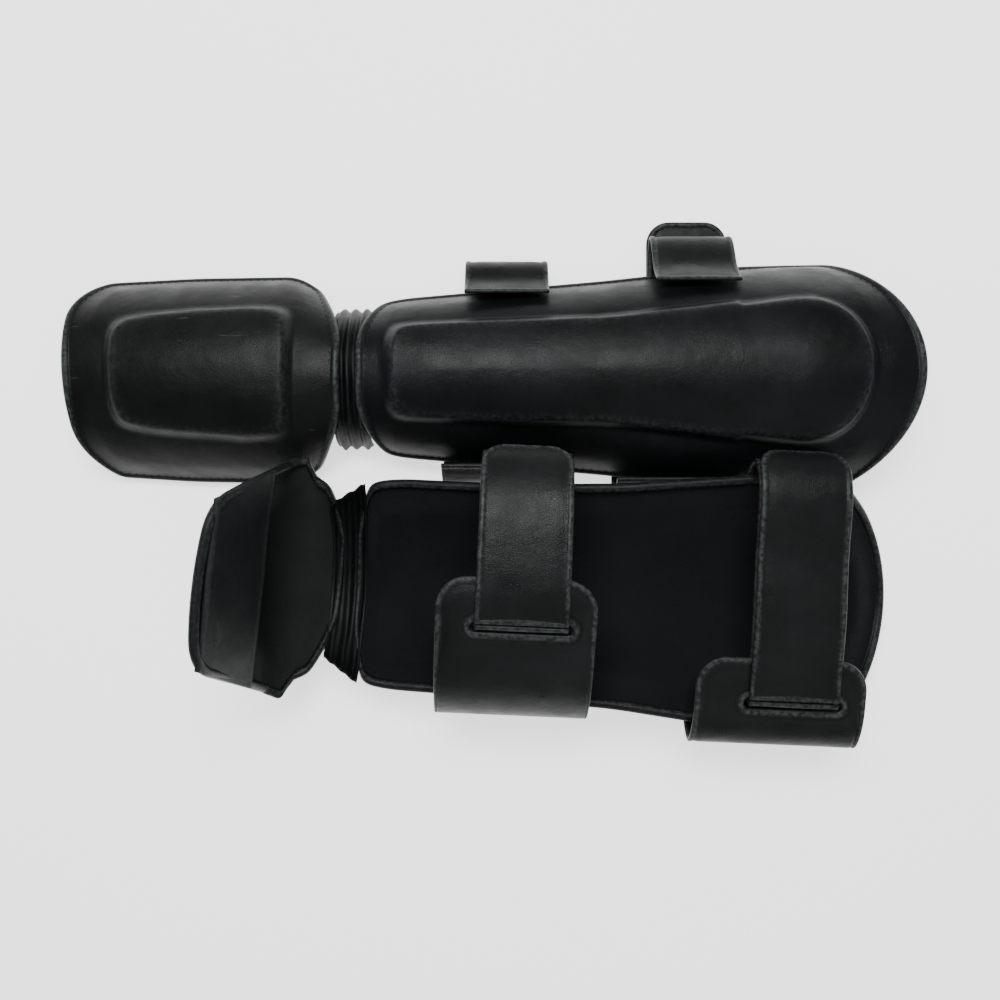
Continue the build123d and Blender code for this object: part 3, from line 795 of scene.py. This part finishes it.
def make_tab(name, line, slot, tab_end, half, shift, x, place):
    """The tab that the strap passes through, with piping round its edge and round its slot."""
    around = 320
    s = np.linspace(0, tab_end, 500)
    corner = 17.0
    d = np.clip(tab_end - s, 0, corner)
    wide = np.minimum(half, half - corner + np.sqrt(corner**2 - (corner - d) ** 2))
    side = np.concatenate([[[0, 0]], np.stack([s, wide], axis=1), [[tab_end, 0]]])
    side = resample(side, around // 2 + 1)
    outline = np.concatenate([side, side[::-1][1:-1] * (1, -1)]) + (0, shift)
    middle = slot - 2.5 + TAIL_GAP
    hole_half, hole_radius = SLOT_HALF + 0.4, 2.7
    flat_half = hole_half - hole_radius
    nearest = np.stack([np.full(around, middle), np.clip(outline[:, 1], -flat_half, flat_half)], axis=1)
    away = outline - nearest
    away /= np.linalg.norm(away, axis=1)[:, None]
    hole = nearest + away * hole_radius
    reach = np.linalg.norm(hole - outline, axis=1)
    fixed = [0, 0.2, 0.7, 1.4, 2.2, 3.0, 3.6, 4.1, 4.7, 5.6]
    top, bottom, wear_and_highlight, seams = [], [], [], {}
    steps = [("edge", f) for f in fixed]
    steps += [("part", i / TAB_RINGS) for i in range(1, TAB_RINGS)]
    steps += [("hole", f) for f in (9.0, 7.6, 6.6, 6.0, 5.4, 4.9, 4.2, 3.4, 2.4, 1.4, 0.6, 0.15, 0.0)]
    for kind, value in steps:
        if kind == "edge":
            distance = np.minimum(value, reach * value / 17)
        elif kind == "hole":
            distance = reach - np.minimum(value, reach * value / 17)
        else:
            low = np.minimum(5.6, reach * 5.6 / 17)
            high = reach - np.minimum(9.0, reach * 9.0 / 17)
            distance = low + (high - low) * value
        share = (distance / reach)[:, None]
        us = outline * (1 - share) + hole * share
        inner = reach - distance
        thick = strap_thickness(distance, TAB_THICKNESS / 2, 1.55)
        ring = 1.5 * np.sqrt(np.clip(1 - ((np.clip(inner, 0, 4.6) - 2.3) / 2.3) ** 2, 0, 1))
        near_hole = np.where(inner > 2.3, np.maximum(ring, 0.8), ring)
        beyond = 0.8 + 0.5 * smooth((inner - 4.6) / 1.2)
        thick = np.where(inner < 4.6, near_hole, np.minimum(thick, np.maximum(beyond, 0.8)))
        u, v = us[:, 0], us[:, 1]
        for sign, out in ((1, top), (-1, bottom)):
            y, z = line.beside(np.clip(u, 0, line.length), sign * thick)
            out.append(np.stack([x + v, y, z], axis=1))
        # The piping round the edge and round the slot is paler: partly wear, partly painted highlight
        edge_wear_and_highlight = np.exp(-((distance - 1.7) / 1.4) ** 2)
        slot_wear_and_highlight = np.exp(-((inner - 2.0) / 1.4) ** 2)
        wear_and_highlight.append(np.maximum(edge_wear_and_highlight, slot_wear_and_highlight) * 0.8)
    rings = len(top)
    points = np.concatenate(top[::-1] + bottom[1:])
    faces = ring_faces(2 * rings - 1, around)
    last = (2 * rings - 2) * around
    for k in range(around):
        n = (k + 1) % around
        faces.append((last + k, k, n, last + n))
    wear_and_highlight_values = np.concatenate(wear_and_highlight[::-1] + wear_and_highlight[1:])
    obj = new_object(name, row_frame(points, place), faces, [STRAP_LEATHER], None, wear_and_highlight_values)
    runs = []
    seam_rings = (7, len(fixed) + TAB_RINGS - 1 + 5)
    for ring in seam_rings:
        for one, two in ((top, bottom), (bottom, top)):
            seam = row_frame(one[ring], place)
            normals = seam - row_frame(two[ring], place)
            runs.append((np.concatenate([seam, seam[:1]]), np.concatenate([normals, normals[:1]])))
    threads = stitch_mesh(f"{name}_stitches", runs, THREAD, 2.4, 3.6, 0.3)
    return obj, threads


def wall_point(w, rise, crest, up, side, inset, off):
    """A point beside a lying pad's outer wall, inset degrees round from its edge, as (y, z)."""
    radius = (w * w + rise * rise) / (2 * rise)
    angle = math.asin(w / radius) - math.radians(inset)
    reach = radius + off
    return (side * reach * math.sin(angle), crest - up * radius + up * reach * math.cos(angle))


STRAP_ROOT = 24.0
TAB_ROOT = 17.0
LEVEL = 4.3


def flat_loop(w, rise, crest, bulge):
    """The squashed loop of a strap under a face-up pad."""
    tab_off, strap_off = TAB_THICKNESS / 2 + 1.6, LAYER_STEP + STRAP_THICKNESS / 2 + 1.6
    return [
        wall_point(w, rise, crest, 1, -1, TAB_ROOT, tab_off),
        wall_point(w, rise, crest, 1, -1, TAB_ROOT / 2, tab_off),
        (-w - tab_off - 0.6, 12),
        (-w + 3, LEVEL + 0.6),
        (-w + 16, LEVEL),
        (-w / 3, LEVEL),
        (w / 3, LEVEL),
        (w - 8, LEVEL),
        (w + bulge * 0.55, LEVEL + 1.5),
        (w + bulge, 13),
        (w + bulge * 0.6, 23),
        wall_point(w, rise, crest, 1, 1, STRAP_ROOT / 2, strap_off),
        wall_point(w, rise, crest, 1, 1, STRAP_ROOT, strap_off),
    ]


def arched_loop(w, rise, heights, bulge, clear):
    """The arched loop of a strap over a face-down pad. heights are above the pad's edges."""
    edge = RIGHT_CREST + rise
    tab_off, strap_off = TAB_THICKNESS / 2 + clear, LAYER_STEP + STRAP_THICKNESS / 2 + clear
    low, slot, crown, fall, lean = heights
    return [
        wall_point(w, rise, RIGHT_CREST, -1, -1, STRAP_ROOT, tab_off),
        wall_point(w, rise, RIGHT_CREST, -1, -1, STRAP_ROOT / 2, tab_off),
        (-w - tab_off - 0.5, edge + 1),
        (-w + 6, edge + low),
        (-w + 34, edge + slot),
        (-w * 0.1, edge + crown),
        (w * 0.45, edge + crown),
        (w + bulge * 0.1, edge + fall),
        (w + bulge, edge + lean),
        (w + bulge * 0.35, edge - 6),
        wall_point(w, rise, RIGHT_CREST, -1, 1, STRAP_ROOT / 2, strap_off),
        wall_point(w, rise, RIGHT_CREST, -1, 1, STRAP_ROOT, strap_off),
    ]


def pad_arc(w, rise, degrees):
    """The length of an arc of the pad's outer surface."""
    return (w * w + rise * rise) / (2 * rise) * math.radians(degrees)


# Each strap's place and sizes, as in the CAD. w and rise are its pad's half width and rise there.
LEFT_STRAPS = {
    "lower": {
        "w": 59, "rise": 42.6, "crest": 56.4, "bulge": 14,
        "x": 92.0, "slot_in": 33, "tab_reach": 23, "tail_length": 94,
        "tab_shift": 0, "tab_width": 78,
    },
    "upper": {
        "w": 70.4, "rise": 47, "crest": 60.6, "bulge": 18,
        "x": 204.0, "slot_in": 26, "tab_reach": 17, "tail_length": 148,
        "tab_shift": -8, "tab_width": 78,
    },
}
RIGHT_STRAPS = {
    "lower": {
        "w": 64.6, "rise": 41.6, "heights": (20, 36, 44, 34, 16), "bulge": 17, "clear": 2.4,
        "x": 104.0, "slot_in": 78, "tab_reach": 25, "tail_length": 100,
        "tab_shift": -3, "tab_width": 86,
    },
    "upper": {
        "w": 76, "rise": 43, "heights": (10, 16, 20, 17, 10), "bulge": 7, "clear": 1.3,
        "x": 257.0, "slot_in": 36, "tab_reach": 24, "tail_length": 142,
        "tab_shift": -7, "tab_width": 95,
    },
}
TAIL_BEND = 16.0


def make_strap(side, which, plan, loop, slot, tail_line, tail_span, strips_end, seed):
    """A strap round one guard: its sewn part, its free tail, both strips and its slotted tab."""
    inward = 1 if side == "left" else -1
    place = PLACES[f"{side}_shin"]
    x = plan["x"]
    tab_end = slot + plan["tab_reach"]
    shin, tail_body = f"{side}_shin", f"{side}_{which}_tail"
    prefix = f"{side}_{which}"
    turned = TurnedLoop(loop, slot, inward)
    strap, strap_threads = make_strip(
        f"{prefix}_strap_band", turned, (0.0, turned.length), 0.0, STRAP_HALF, (0.0, 0.0), x, place,
        1.05, 1.3, STRAP_LEATHER, seed, stitched=(1,)
    )
    tail_off = -inward * LAYER_STEP if tail_line is loop else 0.0
    tail, tail_threads = make_strip(
        f"{prefix}_tail_band", tail_line, tail_span, tail_off, STRAP_HALF, (0.0, 14.0), x, place,
        1.05, 1.3, STRAP_LEATHER, seed + 5, stitched=(1, -1)
    )
    tab, tab_threads = make_tab(
        f"{prefix}_slot_tab_leather", loop, slot, tab_end, plan["tab_width"] / 2, plan["tab_shift"],
        x, place
    )
    first = tab_end + 6
    strips = []
    for name, sign in (("loop", 1), ("hook", -1)):
        strips.append(make_strip(
            f"{prefix}_{name}_patch", loop, (first, strips_end), inward * sign * STRIP_OFFSET, 21.0,
            (1.5, 1.5), x, place, 0.55, 0.5, HOOKS, seed + 12, stitched=()
        ))
    for obj in (strap, strap_threads, tab, tab_threads, strips[0][0]):
        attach(obj, shin)
    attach(strips[1][0], tail_body)
    for spare in (strips[0][1], strips[1][1]):
        bpy.data.objects.remove(spare)
    y0, z0 = tail_line.beside(tail_span[0], tail_off)
    y1, z1 = tail_line.beside(tail_span[0] + TAIL_BEND, tail_off)
    for obj in (tail, tail_threads):
        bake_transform(obj)
    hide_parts(f"{prefix}_strap")
    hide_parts(f"{prefix}_strap_tail")
    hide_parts(f"{prefix}_slot_tab")
    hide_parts(f"{prefix}_loop_strip")
    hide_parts(f"{prefix}_hook_strip")


for index, (which, plan) in enumerate(LEFT_STRAPS.items()):
    w, rise = plan["w"], plan["rise"]
    loop = Loop(flat_loop(w, rise, plan["crest"], plan["bulge"]))
    slot = pad_arc(w, rise, TAB_ROOT) + plan["slot_in"] + 6
    flat_end = slot + 2 * w - plan["slot_in"] - 10
    steps = [slot + TAIL_GAP + (flat_end - slot - TAIL_GAP) * i / 8 for i in range(9)]
    follow = [loop.beside(step, -LAYER_STEP) for step in steps]
    beyond = [(w + 10, 1.6), (w + 30, 2.2), (w + 60, 4)]
    tail_line = Loop([(float(y), float(z)) for y, z in follow] + beyond)
    tail_span = (0.0, float(plan["tail_length"]))
    make_strap("left", which, plan, loop, slot, tail_line, tail_span, flat_end - 4, 20 + index)

for index, (which, plan) in enumerate(RIGHT_STRAPS.items()):
    w, rise = plan["w"], plan["rise"]
    loop = Loop(arched_loop(w, rise, plan["heights"], plan["bulge"], plan["clear"]))
    slot = pad_arc(w, rise, STRAP_ROOT) + plan["slot_in"]
    tail_span = (slot + TAIL_GAP, slot + TAIL_GAP + plan["tail_length"])
    strips_end = slot + plan["tail_length"] - 8
    make_strap("right", which, plan, loop, slot, loop, tail_span, strips_end, 30 + index)

# ---------------------------------------------------------------- sole bands


def make_band(side, chord, half_widths, lift, seed):
    """A band across the foot flap. chord(t) gives its place (x, z) and normal from toe to heel,
    and half_widths its half width at the two ends. Its side edges rise by lift."""
    rows, across = 40, np.linspace(-1, 1, 90)
    place = PLACES[f"{side}_foot"]
    points, wear_and_highlight = [], []
    for layer in (-0.85, 0.85):
        for i in range(rows + 1):
            t = i / rows
            bead = 0.6 * math.exp(-((min(t, 1 - t) * 46 - 1.5) / 1.3) ** 2)
            (x, z), normal = chord(t)
            half = half_widths[0] + (half_widths[1] - half_widths[0]) * t
            for v in across:
                sag = 0.8 * noise.noise(Vector((v * 2.0, t * 1.5, seed)))
                off = sag * (1 - v**4) + math.copysign(bead, layer) + layer
                off += lift * smooth((abs(v) - 0.8) / 0.2)
                points.append((x + normal[0] * off, half * v, z + normal[1] * off))
                # The end beads are paler: partly wear, partly painted highlight on the bead
                wear_and_highlight.append(bead)
    faces = slab_faces(rows + 1, len(across))
    points = row_frame(np.array(points), place)
    band = new_object(f"{side}_sole_strip", points, faces, [BAND_LEATHER], None, wear_and_highlight)
    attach(band, f"{side}_foot")
    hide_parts(f"{side}_sole_band")


def left_chord(t):
    return (-141.0 + 46 * t, 1.9), (0.0, 1.0)


def right_chord(t):
    """From the stitched line below the toe edge down to the band's free edge."""
    return (-53.6 + 13.6 * t, 122.0 - 56.0 * t), (0.97, 0.23)


make_band("left", left_chord, (56.0, 57.0), 2.4, 1.0)
make_band("right", right_chord, (43.0, 61.0), 0.0, 2.0)

# ---------------------------------------------------------------- stage, light and camera


def make_stage():
    """A plain pale floor."""
    mesh = bpy.data.meshes.new("floor")
    size = 2.6
    corners = [(-size, -size, 0), (size, -size, 0), (size, size, 0), (-size, size, 0)]
    mesh.from_pydata(corners, [], [(0, 1, 2, 3)])
    material, nodes, links, bsdf = shader("floor", (0.95, 0.95, 0.95), 0.9, 0.1)
    coords = nodes.new("ShaderNodeTexCoord").outputs["Object"]
    cloud = ranged(nodes, links, noise_node(nodes, links, coords, 3.0), 0.3, 0.7, 0, 1)
    tone = mixed(nodes, links, cloud, (0.945, 0.945, 0.945), (0.955, 0.955, 0.955))
    links.new(tone, bsdf.inputs["Base Color"])
    bsdf.inputs["Emission Color"].default_value = (1, 1, 1, 1)
    bsdf.inputs["Emission Strength"].default_value = 1.5
    mesh.materials.append(material)
    floor = bpy.data.objects.new("floor", mesh)
    floor.location.z = -0.0006
    bpy.context.collection.objects.link(floor)


def add_area(name, location, target, size, power):
    """A rectangular lamp at a location, facing a target."""
    lamp = bpy.data.lights.new(name, "AREA")
    lamp.shape = "RECTANGLE"
    lamp.size, lamp.size_y = size
    lamp.energy = power
    obj = bpy.data.objects.new(name, lamp)
    obj.location = location
    direction = Vector(target) - Vector(location)
    obj.rotation_euler = direction.to_track_quat("-Z", "Y").to_euler()
    bpy.context.collection.objects.link(obj)


make_stage()
add_area("key_light", (-0.08, 0.50, 1.15), (0.04, 0.02, 0.0), (0.75, 0.42), 17.5)
add_area("fill_light", (0.5, -0.9, 1.1), (0.0, 0.0, 0.0), (1.2, 0.8), 3.0)
world = bpy.data.worlds.new("studio")
world.use_nodes = True
world.node_tree.nodes["Background"].inputs["Color"].default_value = (0.95, 0.97, 1.0, 1)
world.node_tree.nodes["Background"].inputs["Strength"].default_value = 0.36
bpy.context.scene.world = world

camera_data = bpy.data.cameras.new("camera")
camera_data.sensor_width = 36.0
camera_data.lens = 33.4
camera = bpy.data.objects.new("camera", camera_data)
camera.location = (0.008, -0.0155, 0.580)
camera.rotation_euler = (0, 0, 0)
bpy.context.collection.objects.link(camera)
bpy.context.scene.camera = camera
